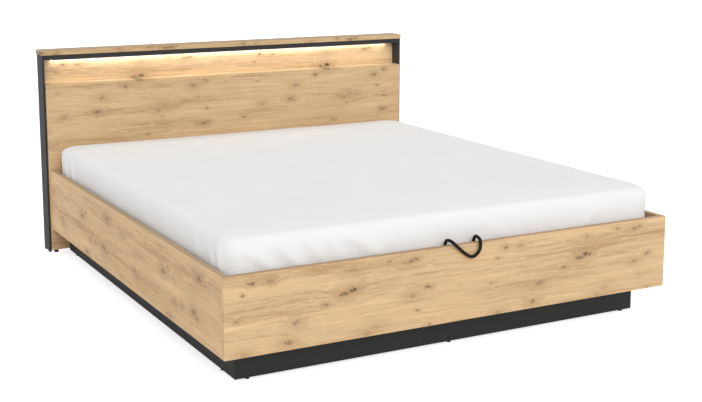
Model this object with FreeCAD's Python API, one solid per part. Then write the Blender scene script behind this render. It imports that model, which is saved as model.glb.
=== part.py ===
import FreeCAD, Part
import math
import os

# Storage bed with a lifting slatted base, in millimetres.
# X runs across the bed, Y from the foot to the head, Z up from the floor.
# The origin is on the floor, under the middle of the bed.
# A depth is measured inwards from the inner face of a side rail.

V = FreeCAD.Vector

# Mattress and the room around it
mattress_width = 1800.0
mattress_length = 1998.0
mattress_height = 201.5
mattress_side_gap = 8.0
mattress_foot_gap = 16.0
mattress_head_gap = 14.0
mattress_sink = 82.3
mattress_corner = 60.0
mattress_rounding = 24.0

# Boards
board = 22.0
thin_board = 16.0
seat_gap = 0.3

# Rails and foot panel
rail_height = 280.0
rail_ground = 112.0

# Plinth
plinth_side_inset = 76.0
plinth_foot_inset = 95.0
glide_height = 5.0
glide_radius = 10.0
glide_foot_end = 122.0
glide_head_end = 104.0
glide_corner = 48.0

# Storage floor
floor_panel = 10.0
floor_panels = 2
floor_joint = 1.0
floor_notch_depth = 64.0
floor_notch_margin = 32.0
floor_batten = 20.0
floor_batten_end = 25.0

# Headboard
headboard_height = 943.0
panel_overhang = 6.0
panel_ground = 13.0
post_thickness = 10.0
post_depth = 90.0
post_setback = 12.0
cap_side_overhang = 2.5
cap_front_overhang = 3.0
cap_back_overhang = 2.0
recess_height = 112.0
recess_depth = 65.0
rib_offset = 312.0
back_rail_height = 100.0
back_rail_ground = 160.0
headboard_glide_inset = 21.0
post_glide_inset = 14.0

# Light under the headboard's dark board
led_length = 1780.0
led_width = 17.0
led_height = 7.0
led_wall = 1.2
led_inset = 1.5
led_bulge = 0.8
driver_length = 160.0
driver_end_gap = 42.0
driver_width = 18.0
driver_height = 40.0
driver_ear = 14.0
driver_ear_thickness = 3.0
driver_ear_hole = 2.2

# Corner angles of bent steel
angle_thickness = 2.5
angle_leg = 45.0
angle_height = 150.0
angle_hole = 4.5
angle_hole_inset = 28.0
angle_bend = 4.0
angle_rise = 50.0

# Rests of the lifting base
rest_batten_height = 30.0
rest_block_length = 60.0
rest_block_height = 45.0
rest_block_overlap = 14.0
rest_block_places_share = (0.33, 0.76)
buffer_height = 3.0
buffer_side = 16.0
buffer_places_share = (0.15, 0.5, 0.85)

# Lifting base of steel tube
tube_height = 40.0
tube_width = 20.0
tube_wall = 1.5
centre_tube_width = 30.0
base_side_gap = 40.0
base_foot_gap = 22.0
base_head_reach = 0.3
cap_plug_depth = 12.0
cap_plug_thickness = 2.5

# Bent slats and their holders
slat_count = 14
slat_width = 53.0
slat_thickness = 8.0
slat_crown = 10.0
slat_end_gap = 3.0
holder_length = 24.0
holder_wall = 3.0
holder_cover = 2.6
holder_play = 1.2

# Lift linkage: pivots measured from the headboard's face and from the base's underside
arm_pivot_from_head = 555.0
arm_pivot_drop = 2.0
front_pivot_from_head = 700.5
front_pivot_drop = 131.5
base_pivot_from_head = 287.5
base_pivot_rise = 22.5
front_base_pivot_from_head = 342.0
front_base_pivot_drop = 58.0
strut_circle = 152.0
strut_foot_drop = 135.0
strut_lug_angle = 12.0

# Lift plates, arms and brackets
plate_thickness = 3.0
strut_layer_gap = 1.0
arm_thickness = 5.0
arm_layer_gap = 3.0
arm_end_radius = 20.0
arm_tip_radius = 18.0
lug_radius = 14.0
front_arm_radius = 15.0
plate_arm_radius = 26.0
plate_front_radius = 16.0
plate_strut_radius = 12.0
plate_hole = 9.0
bracket_radius = 16.0
bracket_foot_reach = 75.0
bracket_head_reach = 45.0
bracket_inset = 2.0

# Pivot studs
stud_shoulder = 9.0
stud_pin = 6.0
stud_cap = 10.0
stud_cap_thickness = 2.1
open_pin = 5.0
open_pivot_play = 1.3
strut_stud_shoulder = 7.5
strut_stud_pin = 4.0
strut_stud_cap = 6.5
pin_play = 0.3

# Gas struts
strut_radius = 9.0
strut_eye_width = 8.0
strut_eye_radius = 9.0
strut_neck_radius = 3.7
strut_neck_length = 8.5
strut_tube_start = 11.0
strut_tube_floor = 7.0
strut_tube_end = 150.0
rod_radius = 4.0
rod_length = 160.0
rod_collar_radius = 6.0
rod_collar_length = 14.0

# Stops that hold the mattress at the head
stop_width = 60.0
stop_height = 62.0
stop_thickness = 3.0
stop_places = (-460.0, 460.0)
stop_corner = 12.0

# Pull loop and its anchor
cord_diameter = 12.0
arc_share = 0.45
anchor_width = 26.0
anchor_thickness = 2.0
anchor_seat = 276.0
anchor_front_gap = 18.0
anchor_skirt = 12.0
ferrule_radius = 7.0
ferrule_height = 13.0

# Places that follow from the sizes above
half_inside = mattress_width / 2 + mattress_side_gap
half_outside = half_inside + board
bed_length = board + mattress_foot_gap + mattress_length + mattress_head_gap
whole_length = bed_length + post_setback + post_depth + cap_back_overhang
foot_y = -whole_length / 2
foot_inner_y = foot_y + board
head_y = foot_y + bed_length
rail_top = rail_ground + rail_height
mattress_bottom = rail_top - mattress_sink
mattress_y0 = foot_inner_y + mattress_foot_gap
mattress_y1 = mattress_y0 + mattress_length
tube_top = mattress_bottom - seat_gap - slat_crown + holder_cover
tube_bottom = tube_top - tube_height
base_y0 = mattress_y0 + base_foot_gap
base_y1 = mattress_y1 + base_head_reach
base_half = half_inside - base_side_gap
floor_top = rail_ground + floor_panel
panel_half = half_outside + panel_overhang
post_y0 = head_y + post_setback
post_y1 = post_y0 + post_depth
cap_bottom = headboard_height - board
frame_board_bottom = cap_bottom - board
ledge_top = frame_board_bottom - recess_height
recess_y = post_y0 + recess_depth

# Depths of the lift's layers
strut_depth = plate_thickness + strut_layer_gap + strut_radius
rear_arm_depth = strut_depth + strut_radius + strut_layer_gap
front_arm_depth = rear_arm_depth + arm_thickness + arm_layer_gap
bracket_depth = base_side_gap - plate_thickness

# Pivots as (Y, Z)
pivot_arm = (head_y - arm_pivot_from_head, tube_bottom - arm_pivot_drop)
pivot_front = (head_y - front_pivot_from_head, tube_bottom - front_pivot_drop)
pivot_base = (head_y - base_pivot_from_head, tube_bottom + base_pivot_rise)
pivot_open = (head_y - front_base_pivot_from_head, tube_bottom - front_base_pivot_drop)
strut_foot_angle = -math.asin(strut_foot_drop / strut_circle)
strut_top_angle = math.radians(strut_lug_angle)


def on_circle(centre, radius, angle):
    return (centre[0] + radius * math.cos(angle), centre[1] + radius * math.sin(angle))


# Both ends of a strut lie on one circle about the arm's pivot, so a strut turns half as far as the arm
pivot_strut_foot = on_circle(pivot_arm, strut_circle, strut_foot_angle)
pivot_strut_top = on_circle(pivot_arm, strut_circle, strut_top_angle)
strut_length = math.dist(pivot_strut_foot, pivot_strut_top)
strut_lean = math.atan2(pivot_strut_top[1] - pivot_strut_foot[1], pivot_strut_top[0] - pivot_strut_foot[0])

# Where the pull loop's cord goes: up behind the foot panel, over its edge, and back
edge = foot_y + board / 2
cord_route = [
    V(-71, edge + 36.5, anchor_seat), V(-71, edge + 36.5, 290), V(-70.5, edge + 19.5, 330),
    V(-68, edge + 20.5, 409.5),
    V(-66, edge - 20.5, 412), V(-44, edge - 22.5, 390), V(-10, edge - 22, 360),
    V(22, edge - 22.5, 341), V(51, edge - 22, 360), V(57, edge - 22.5, 386),
    V(51, edge - 21, 411.5), V(53, edge + 20.5, 411.5), V(53.5, edge + 19.5, 330),
    V(54, edge + 36.5, 290), V(54, edge + 36.5, anchor_seat),
]


def box(x0, x1, y0, y1, z0, z1):
    """A board or block between two corners."""
    return Part.makeBox(x1 - x0, y1 - y0, z1 - z0, V(x0, y0, z0))


def mirrored(shape):
    """The same piece on the other side of the bed."""
    return shape.mirror(V(0, 0, 0), V(1, 0, 0))


def rod(x0, x1, place, radius):
    """A round bar across the bed, from x0 to x1, at a (Y, Z) place."""
    return Part.makeCylinder(radius, x1 - x0, V(x0, place[0], place[1]), V(1, 0, 0))


def at_depth(depth):
    """The X of a depth beside the right rail."""
    return half_inside - depth


def upright(e):
    """Is this edge vertical?"""
    d = e.tangentAt(e.FirstParameter)
    return abs(d.z) > abs(d.x) + abs(d.y)


def tube_along_y(x0, x1, y0, y1):
    """Rectangular steel tube with open ends."""
    outer = box(x0, x1, y0, y1, tube_bottom, tube_top)
    inner = box(x0 + tube_wall, x1 - tube_wall, y0, y1, tube_bottom + tube_wall, tube_top - tube_wall)
    return outer.cut(inner)


def tube_along_x(x0, x1, y0, y1):
    """Rectangular steel tube across the bed."""
    outer = box(x0, x1, y0, y1, tube_bottom, tube_top)
    inner = box(x0, x1, y0 + tube_wall, y1 - tube_wall, tube_bottom + tube_wall, tube_top - tube_wall)
    return outer.cut(inner)


def link(a, b, ra, rb, x0, x1):
    """A flat bar between two (Y, Z) places with round ends, tangent to both."""
    span = math.dist(a, b)
    lean = math.atan2(b[1] - a[1], b[0] - a[0])
    side = math.acos((ra - rb) / span)
    corners = [on_circle(a, ra, lean + side), on_circle(b, rb, lean + side),
               on_circle(b, rb, lean - side), on_circle(a, ra, lean - side)]
    ring = [V(x0, y, z) for y, z in corners]
    web = Part.Face(Part.makePolygon(ring + ring[:1])).extrude(V(x1 - x0, 0, 0))
    return web.fuse([rod(x0, x1, a, ra), rod(x0, x1, b, rb)]).removeSplitter()


def side_rail():
    """Right side rail, from the foot panel to the headboard's face."""
    return box(half_inside, half_outside, foot_inner_y, head_y, rail_ground, rail_top)


def foot_panel():
    """Foot panel that caps both rails' ends."""
    return box(-half_outside, half_outside, foot_y, foot_inner_y, rail_ground, rail_top)


def plinth_boards():
    """Dark plinth set back under the rails: a ring of boards and one along the middle."""
    half = half_outside - plinth_side_inset
    y0 = foot_y + plinth_foot_inset
    z0, z1 = glide_height, rail_ground
    side = box(half - thin_board, half, y0 + thin_board, head_y, z0, z1)
    inner = half - thin_board
    half_middle = thin_board / 2
    return {
        "plinth_right": side,
        "plinth_left": mirrored(side),
        "plinth_foot": box(-half, half, y0, y0 + thin_board, z0, z1),
        "plinth_head": box(-inner, inner, head_y - thin_board, head_y, z0, z1),
        "plinth_middle": box(-half_middle, half_middle, y0 + thin_board, head_y - thin_board, z0, z1),
    }


def glide(x, y, height, radius):
    """A round glide between the floor and a board."""
    return Part.makeCylinder(radius, height, V(x, y, 0))


def plinth_glides():
    """Glides under the plinth's ring of boards."""
    x = half_outside - plinth_side_inset - thin_board / 2
    y = foot_y + plinth_foot_inset + thin_board / 2
    places = [(0, y), (x - glide_corner + thin_board / 2, y), (-x + glide_corner - thin_board / 2, y)]
    for along in (y + glide_foot_end - thin_board / 2, head_y - glide_head_end):
        places += [(x, along), (-x, along)]
    radius = min(glide_radius, thin_board / 2)
    return Part.makeCompound([glide(px, py, glide_height, radius) for px, py in places])


def storage_floor():
    """Floor panels that lie on the plinth between the rails, notched round the lift plates."""
    length = (head_y - foot_inner_y - floor_joint * (floor_panels + 1)) / floor_panels
    half = half_inside - floor_joint
    pieces = {}
    for n, name in zip(range(floor_panels), ("foot", "head")):
        y0 = foot_inner_y + floor_joint + n * (length + floor_joint)
        pieces["storage_floor_" + name] = box(-half, half, y0, y0 + length, rail_ground, floor_top)
    notch = box(half_inside - floor_notch_depth, half_inside, pivot_front[0] - floor_notch_margin,
                pivot_strut_foot[0] + floor_notch_margin, rail_ground, floor_top)
    pieces["storage_floor_head"] = pieces["storage_floor_head"].cut([notch, mirrored(notch)])
    return pieces


def floor_battens():
    """Battens that join the storage floor to the rails and the foot panel."""
    y0 = foot_inner_y + floor_batten + floor_batten_end
    y1 = pivot_front[0] - plate_front_radius - floor_batten_end
    side = box(half_inside - floor_batten, half_inside, y0, y1, floor_top, floor_top + floor_batten)
    half = half_inside - floor_batten - floor_batten_end
    foot = box(-half, half, foot_inner_y, foot_inner_y + floor_batten, floor_top, floor_top + floor_batten)
    return Part.makeCompound([side, mirrored(side), foot])


def headboard_boards():
    """Posts, panels, ledge, dark board and cap of the headboard."""
    post = box(panel_half, panel_half + post_thickness, post_y0, post_y1, glide_height, cap_bottom)
    cap_half = panel_half + post_thickness + cap_side_overhang
    panel_back = head_y + board
    rib = box(rib_offset - thin_board / 2, rib_offset + thin_board / 2, panel_back, recess_y,
              panel_ground, ledge_top - board)
    recess_back = recess_y + thin_board
    rail_z1 = back_rail_ground + back_rail_height
    return {
        "headboard_post_right": post,
        "headboard_post_left": mirrored(post),
        "headboard_front_panel": box(-panel_half, panel_half, head_y, panel_back, panel_ground, ledge_top),
        "headboard_ledge": box(-panel_half, panel_half, panel_back, recess_y, ledge_top - board, ledge_top),
        "headboard_recess_panel": box(-panel_half, panel_half, recess_y, recess_back,
                                      ledge_top - board, frame_board_bottom),
        "headboard_dark_board": box(-panel_half, panel_half, post_y0, post_y1,
                                    frame_board_bottom, cap_bottom),
        "headboard_cap": box(-cap_half, cap_half, post_y0 - cap_front_overhang,
                             post_y1 + cap_back_overhang, cap_bottom, headboard_height),
        "headboard_rib_left": mirrored(rib),
        "headboard_rib_right": rib,
        "headboard_back_rail": box(-panel_half, panel_half, recess_y, recess_back,
                                   back_rail_ground, rail_z1),
    }


def headboard_glides():
    """Glides under the front panel and under both posts."""
    x = panel_half - headboard_glide_inset
    solids = []
    for s in (-1, 1):
        solids.append(glide(s * x, head_y + board / 2, panel_ground, glide_radius))
        x0, x1 = sorted((s * panel_half, s * (panel_half + post_thickness)))
        for y in (post_y0 + post_glide_inset, post_y1 - post_glide_inset):
            y0 = y - post_thickness / 2
            solids.append(box(x0, x1, y0, y0 + post_thickness, 0, glide_height))
    return Part.makeCompound(solids)


def led_profile():
    """Channel of the light strip, screwed under the dark board."""
    half = led_length / 2
    y0 = recess_y - led_inset - led_width
    z1 = frame_board_bottom
    outer = box(-half, half, y0, y0 + led_width, z1 - led_height, z1)
    groove = box(-half, half, y0 + led_wall, y0 + led_width - led_wall, z1 - led_height, z1 - led_wall)
    return outer.cut(groove)


def led_diffuser():
    """Opal strip that fills the channel's mouth and bulges below it."""
    half = led_length / 2
    y0 = recess_y - led_inset - led_width + led_wall
    y1 = y0 + led_width - led_wall * 2
    z0 = frame_board_bottom - led_height
    z1 = frame_board_bottom - led_wall
    low = Part.Arc(V(-half, y0, z0), V(-half, (y0 + y1) / 2, z0 - led_bulge), V(-half, y1, z0)).toShape()
    sides = Part.makePolygon([V(-half, y1, z0), V(-half, y1, z1), V(-half, y0, z1), V(-half, y0, z0)])
    return Part.Face(Part.Wire([low] + sides.Edges)).extrude(V(led_length, 0, 0))


def led_driver():
    """Supply of the light strip, screwed by two ears behind the recess panel."""
    y0 = recess_y + thin_board
    z0 = frame_board_bottom - driver_height - driver_ear
    x0 = panel_half - driver_length - driver_end_gap
    x1 = x0 + driver_length
    case = box(x0, x1, y0, y0 + driver_width, z0, z0 + driver_height)
    ears = box(x0 - driver_ear, x1 + driver_ear, y0, y0 + driver_ear_thickness,
               z0 + driver_ear_thickness, z0 + driver_height - driver_ear_thickness)
    shell = case.fuse(ears).removeSplitter()
    for x in (x0 - driver_ear / 2, x1 + driver_ear / 2):
        hole = Part.makeCylinder(driver_ear_hole, driver_width, V(x, y0, z0 + driver_height / 2), V(0, 1, 0))
        shell = shell.cut(hole)
    return shell


def corner_angle(y, turn):
    """Bent steel angle in the corner of a rail and a cross board, with a bolt hole in each leg."""
    t = angle_thickness
    z0 = rail_ground + angle_rise
    z1 = z0 + angle_height
    along = sorted((y, y + turn * angle_leg))
    across = sorted((y, y + turn * t))
    flat = box(half_inside - t, half_inside, along[0], along[1], z0, z1)
    leg = box(half_inside - angle_leg, half_inside, across[0], across[1], z0, z1)
    angle = flat.fuse(leg).removeSplitter()
    a = rod(half_inside - angle_leg, half_inside, (y + turn * angle_hole_inset, z1 - angle_hole_inset),
            angle_hole)
    start = V(half_inside - angle_hole_inset, y - turn * t, z1 - angle_hole_inset)
    b = Part.makeCylinder(angle_hole, t * 3, start, V(0, turn, 0))
    angle = angle.cut([a, b])
    inside = [e for e in angle.Edges if upright(e)
              and abs(e.BoundBox.XMin - half_inside + t) < seat_gap
              and abs(e.BoundBox.YMin - y - turn * t) < seat_gap]
    return angle.makeFillet(angle_bend, inside)


def corner_angles(y, turn):
    """The pair of angles at one end of the bed."""
    one = corner_angle(y, turn)
    return Part.makeCompound([one, mirrored(one)])


def rest_batten():
    """Batten on the foot panel that the closed base comes down on."""
    half = half_inside - angle_leg - angle_bend
    z1 = tube_bottom - buffer_height - seat_gap
    return box(-half, half, foot_inner_y, base_y0 + buffer_side, z1 - rest_batten_height, z1)


def rest_buffers():
    """Rubber buffers on the foot batten."""
    half = half_inside - angle_leg - angle_bend
    z0 = tube_bottom - buffer_height - seat_gap
    pads = []
    for share in buffer_places_share:
        x = half * (share * 2 - 1)
        y1 = base_y0 + buffer_side
        pads.append(box(x - buffer_side, x + buffer_side, base_y0, y1, z0, z0 + buffer_height))
    return Part.makeCompound(pads)


def rest_blocks():
    """Blocks on the rails under the base's side tubes, with a sloped lower side."""
    z1 = tube_bottom - seat_gap
    reach = base_side_gap + rest_block_overlap
    blocks = []
    for share in rest_block_places_share:
        y0 = foot_inner_y + (pivot_front[0] - foot_inner_y) * share
        tip = half_inside - reach
        ring = [V(half_inside, y0, z1), V(tip, y0, z1), V(tip, y0, z1 - rest_block_height / 3),
                V(half_inside, y0, z1 - rest_block_height)]
        block = Part.Face(Part.makePolygon(ring + ring[:1])).extrude(V(0, rest_block_length, 0))
        blocks += [block, mirrored(block)]
    return Part.makeCompound(blocks)


def base_tubes():
    """Welded frame of the lifting base, each tube a piece of its own."""
    inner = base_half - tube_width
    side = tube_along_y(inner, base_half, base_y0, base_y1)
    half = centre_tube_width / 2
    return {
        "base_side_tube_right": side,
        "base_side_tube_left": mirrored(side),
        "base_foot_tube": tube_along_x(-inner, inner, base_y0, base_y0 + tube_width),
        "base_head_tube": tube_along_x(-inner, inner, base_y1 - tube_width, base_y1),
        "base_centre_tube": tube_along_y(-half, half, base_y0 + tube_width, base_y1 - tube_width),
    }


def tube_plugs():
    """Plastic plugs in the side tubes' ends."""
    w = tube_wall + seat_gap / 3
    plugs = []
    for y0, inwards in ((base_y0, 1), (base_y1, -1)):
        reach = sorted((y0, y0 + inwards * cap_plug_depth))
        head = sorted((y0, y0 - inwards * cap_plug_thickness / 2))
        plug = box(base_half - tube_width + w, base_half - w, reach[0], reach[1],
                   tube_bottom + w, tube_top - w)
        face = box(base_half - tube_width, base_half, head[0], head[1], tube_bottom, tube_top)
        plug = plug.fuse(face).removeSplitter()
        plugs += [plug, mirrored(plug)]
    return Part.makeCompound(plugs)


def slat_row_places():
    """Y of each slat's foot edge, evenly spaced between the end tubes."""
    y0 = base_y0 + tube_width
    y1 = base_y1 - tube_width
    free = (y1 - y0 - slat_count * slat_width) / slat_count
    return [y0 + free / 2 + n * (slat_width + free) for n in range(slat_count)]


def slat_ends():
    """X of a right slat's two ends."""
    return centre_tube_width / 2 + slat_end_gap, base_half - tube_width - slat_end_gap


def slats():
    """Right row of slats, each bent up in the middle."""
    x0, x1 = slat_ends()
    z0 = tube_top - holder_cover - slat_thickness
    mid = (x0 + x1) / 2
    t = slat_thickness
    solids = []
    for y in slat_row_places():
        low = Part.Arc(V(x0, y, z0), V(mid, y, z0 + slat_crown), V(x1, y, z0)).toShape()
        end = Part.makeLine(V(x1, y, z0), V(x1, y, z0 + t))
        top = Part.Arc(V(x1, y, z0 + t), V(mid, y, z0 + slat_crown + t), V(x0, y, z0 + t)).toShape()
        start = Part.makeLine(V(x0, y, z0 + t), V(x0, y, z0))
        face = Part.Face(Part.Wire([low, end, top, start]))
        solids.append(face.extrude(V(0, slat_width, 0)))
    return Part.makeCompound(solids)


def slat_holders(wall_x, outwards):
    """Cups on a tube's face that hold one end of each slat."""
    z0 = tube_top - holder_cover - slat_thickness
    solids = []
    for y in slat_row_places():
        near, far = sorted((wall_x, wall_x + outwards * holder_length))
        mouth = sorted((wall_x + outwards * (slat_end_gap - seat_gap), wall_x + outwards * holder_length))
        cup = box(near, far, y - holder_wall, y + slat_width + holder_wall,
                  z0 - holder_wall, z0 + slat_thickness + holder_play + holder_wall / 2)
        pocket = box(mouth[0], mouth[1], y - seat_gap, y + slat_width + seat_gap,
                     z0 - seat_gap, z0 + slat_thickness + holder_play)
        solids.append(cup.cut(pocket))
    return solids


def all_slat_holders():
    """Holders on the side tubes and back to back on the centre tube."""
    right = slat_holders(base_half - tube_width, -1) + slat_holders(centre_tube_width / 2, 1)
    return Part.makeCompound(right + [mirrored(s) for s in right])


def lift_plate():
    """Right wall plate that carries the lift's three fixed pivots."""
    x0, x1 = at_depth(plate_thickness), at_depth(0)
    corners = [(pivot_arm, plate_arm_radius), (pivot_front, plate_front_radius),
               (pivot_strut_foot, plate_strut_radius)]
    links = []
    for n in range(len(corners)):
        (a, ra), (b, rb) = corners[n - 1], corners[n]
        links.append(link(a, b, ra, rb, x0, x1))
    ring = [V(x0, p[0], p[1]) for p, r in corners]
    links.append(Part.Face(Part.makePolygon(ring + ring[:1])).extrude(V(x1 - x0, 0, 0)))
    plate = links[0].fuse(links[1:]).removeSplitter()
    middle = [sum(p[n] for p, r in corners) / len(corners) for n in range(len(pivot_arm))]
    return plate.cut(rod(x0, x1, middle, plate_hole))


def hexagon(x0, x1, place, radius):
    """A hexagonal bar across the bed, from x0 to x1, at a (Y, Z) place."""
    corners = [on_circle(place, radius, math.radians(60 * n)) for n in range(7)]
    return Part.Face(Part.makePolygon([V(x0, y, z) for y, z in corners])).extrude(V(x1 - x0, 0, 0))


def stud(place, steps):
    """A stud with hexagonal ends and a round pin: steps are (depth, next depth, radius)."""
    bars = []
    for form, (a, b, radius) in zip((hexagon, rod, hexagon), steps):
        bars.append(form(at_depth(max(a, b)), at_depth(min(a, b)), place, radius))
    return bars[0].fuse(bars[1:]).removeSplitter()


def frame_studs():
    """Studs on the wall plates for both arms and the strut's foot."""
    g = seat_gap
    arm0, arm1 = rear_arm_depth, rear_arm_depth + arm_thickness
    front0, front1 = front_arm_depth, front_arm_depth + arm_thickness
    eye0, eye1 = strut_depth - strut_eye_width / 2, strut_depth + strut_eye_width / 2
    cap = stud_cap_thickness
    solids = [
        stud(pivot_arm, [(plate_thickness, arm0 - g, stud_shoulder), (arm0 - g, arm1 + g, stud_pin),
                         (arm1 + g, arm1 + g + cap, stud_cap)]),
        stud(pivot_front, [(plate_thickness, front0 - g, stud_shoulder), (front0 - g, front1 + g, stud_pin),
                           (front1 + g, front1 + g + cap, stud_cap)]),
        stud(pivot_strut_foot, [(plate_thickness, eye0 - g, strut_stud_shoulder),
                                (eye0 - g, eye1 + g, strut_stud_pin),
                                (eye1 + g, eye1 + g + cap, strut_stud_cap)]),
    ]
    return Part.makeCompound(solids + [mirrored(s) for s in solids])


def arm_studs():
    """Studs on the rear arms for the struts' rods."""
    g = seat_gap
    eye0, eye1 = strut_depth - strut_eye_width / 2, strut_depth + strut_eye_width / 2
    one = stud(pivot_strut_top, [(rear_arm_depth, eye1 + g, strut_stud_shoulder),
                                 (eye1 + g, eye0 - g, strut_stud_pin),
                                 (eye0 - g, eye0 - g - stud_cap_thickness, strut_stud_cap)])
    return Part.makeCompound([one, mirrored(one)])


def base_studs():
    """Studs on the base's brackets for the upper ends of both arms."""
    g = seat_gap
    arm0, arm1 = rear_arm_depth, rear_arm_depth + arm_thickness
    front0, front1 = front_arm_depth, front_arm_depth + arm_thickness
    cap = stud_cap_thickness
    solids = [
        stud(pivot_base, [(bracket_depth, arm1 + g, stud_shoulder), (arm1 + g, arm0 - g, stud_pin),
                          (arm0 - g, arm0 - g - cap, stud_cap)]),
        stud(pivot_open, [(bracket_depth, front1 + g, stud_shoulder), (front1 + g, front0 - g, open_pin),
                          (front0 - g, front0 - g - cap, stud_shoulder)]),
    ]
    return Part.makeCompound(solids + [mirrored(s) for s in solids])


def rear_arm():
    """Right rear arm with the lug that the gas strut pushes on."""
    x0, x1 = at_depth(rear_arm_depth + arm_thickness), at_depth(rear_arm_depth)
    arm = link(pivot_arm, pivot_base, arm_end_radius, arm_tip_radius, x0, x1)
    arm = arm.fuse(link(pivot_arm, pivot_strut_top, arm_end_radius, lug_radius, x0, x1)).removeSplitter()
    for place in (pivot_arm, pivot_base):
        arm = arm.cut(rod(x0, x1, place, stud_pin + pin_play))
    return arm


def front_arm():
    """Right front arm: its upper hole has the play that the open pivot needs."""
    x0, x1 = at_depth(front_arm_depth + arm_thickness), at_depth(front_arm_depth)
    arm = link(pivot_front, pivot_open, front_arm_radius, front_arm_radius, x0, x1)
    arm = arm.cut(rod(x0, x1, pivot_front, stud_pin + pin_play))
    return arm.cut(rod(x0, x1, pivot_open, open_pin + open_pivot_play))


def lift_bracket():
    """Right bracket on the base's side tube, hanging down to the open pivot."""
    x0, x1 = at_depth(bracket_depth + plate_thickness), at_depth(bracket_depth)
    flat = box(x0, x1, pivot_base[0] - bracket_foot_reach, pivot_base[0] + bracket_head_reach,
               tube_bottom + bracket_inset, tube_top - bracket_inset)
    hanger = link(pivot_base, pivot_open, bracket_radius, bracket_radius, x0, x1)
    return flat.fuse(hanger).removeSplitter()


def turned(profile, place):
    """A body of revolution from (distance, radius) pairs, laid along the strut from its foot."""
    ring = [V(r, 0, s) for s, r in profile]
    solid = Part.Face(Part.makePolygon(ring + ring[:1])).revolve(V(0, 0, 0), V(0, 0, 1), 360)
    solid.rotate(V(0, 0, 0), V(1, 0, 0), math.degrees(strut_lean) - 90)
    solid.translate(V(at_depth(strut_depth), place[0], place[1]))
    return solid


def strut_eye(place):
    """The eye of a strut's end round its stud."""
    x0 = at_depth(strut_depth + strut_eye_width / 2)
    x1 = at_depth(strut_depth - strut_eye_width / 2)
    return rod(x0, x1, place, strut_eye_radius), rod(x0, x1, place, strut_stud_pin + pin_play)


def strut_cylinder():
    """Right gas strut's cylinder, bored for its rod."""
    inner_floor = strut_tube_start + strut_tube_floor
    bore = rod_radius + pin_play
    neck = strut_neck_length
    shell = turned([(0, 0), (0, strut_neck_radius), (neck, strut_neck_radius), (neck, rod_collar_radius),
                    (strut_tube_start, rod_collar_radius), (strut_tube_start, strut_radius),
                    (strut_tube_end, strut_radius), (strut_tube_end, bore), (inner_floor, bore),
                    (inner_floor, 0)], pivot_strut_foot)
    eye, hole = strut_eye(pivot_strut_foot)
    return shell.fuse(eye).removeSplitter().cut(hole)


def strut_rod():
    """Right gas strut's rod with its eye."""
    end = strut_length
    start = strut_length - rod_length
    collar = end - rod_collar_length
    neck = end - strut_neck_length
    stem = turned([(start, 0), (start, rod_radius), (collar, rod_radius), (collar, rod_collar_radius),
                   (neck, rod_collar_radius), (neck, strut_neck_radius), (end, strut_neck_radius), (end, 0)],
                  pivot_strut_foot)
    eye, hole = strut_eye(pivot_strut_top)
    return stem.fuse(eye).removeSplitter().cut(hole)


def rounded_ring(inset, z, corner):
    """The mattress's outline at one height, drawn in by an inset."""
    x = mattress_width / 2 - inset
    y0, y1 = mattress_y0 + inset, mattress_y1 - inset
    r = corner
    q = r * (1 - math.sqrt(1 / 2))
    lines = [(V(-x + r, y0, z), V(x - r, y0, z)), (V(x, y0 + r, z), V(x, y1 - r, z)),
             (V(x - r, y1, z), V(-x + r, y1, z)), (V(-x, y1 - r, z), V(-x, y0 + r, z))]
    bends = [V(x - q, y0 + q, z), V(x - q, y1 - q, z), V(-x + q, y1 - q, z), V(-x + q, y0 + q, z)]
    edges = []
    for n in range(len(lines)):
        edges.append(Part.makeLine(*lines[n]))
        after = lines[(n + 1) % len(lines)]
        edges.append(Part.Arc(lines[n][1], bends[n], after[0]).toShape())
    return Part.Wire(edges)


# The mattress's side from below, as shares of its lower edge's rounding and of its height
mattress_profile_shares = (
    (1.0, 0.0), (0.3, 0.035), (0.0, 0.15), (0.17, 0.45), (0.0, 0.745), (0.2, 0.85), (0.67, 0.926),
    (1.4, 0.973), (3.3, 0.993), (10.0, 1.0),
)


def mattress():
    """Mattress with rounded edges and slightly drawn-in sides."""
    rings = []
    for inset, height in mattress_profile_shares:
        z = mattress_bottom + height * mattress_height
        rings.append(rounded_ring(inset * mattress_rounding, z, mattress_corner))
    return Part.makeLoft(rings, True, True)


def mattress_stops():
    """Plates on the head tube that keep the mattress from sliding when the base is up."""
    solids = []
    y0 = base_y1
    z0 = tube_bottom + bracket_inset
    z1 = mattress_bottom + stop_height
    for x in stop_places:
        plate = box(x - stop_width / 2, x + stop_width / 2, y0, y0 + stop_thickness, z0, z1)
        top = [e for e in plate.Edges if e.BoundBox.ZMin > tube_top
               and e.BoundBox.YLength > stop_thickness / 2 and e.Length < stop_thickness * 2]
        solids.append(plate.makeFillet(stop_corner, top))
    return Part.makeCompound(solids)


def anchor_places():
    """X of the two strands of the pull loop."""
    return cord_route[0].x, cord_route[-1].x


def loop_anchors():
    """Bent tabs on the base's foot tube that the pull loop's ends go through."""
    tabs = []
    y_front = foot_inner_y + anchor_front_gap
    for x in anchor_places():
        x0, x1 = x - anchor_width / 2, x + anchor_width / 2
        shelf = box(x0, x1, y_front, base_y0, anchor_seat - anchor_thickness, anchor_seat)
        skirt = box(x0, x1, base_y0 - anchor_thickness, base_y0, anchor_seat - anchor_skirt, anchor_seat)
        tabs.append(shelf.fuse(skirt).removeSplitter())
    return Part.makeCompound(tabs)


def loop_ferrules():
    """Crimped ferrules under the tabs that keep the cord's ends in."""
    y = cord_route[0].y
    z0 = anchor_seat - anchor_thickness - ferrule_height
    radius = min(ferrule_radius, base_y0 - anchor_thickness - y - seat_gap)
    ferrules = [Part.makeCylinder(radius, ferrule_height, V(x, y, z0)) for x in anchor_places()]
    return Part.makeCompound(ferrules)


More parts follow.
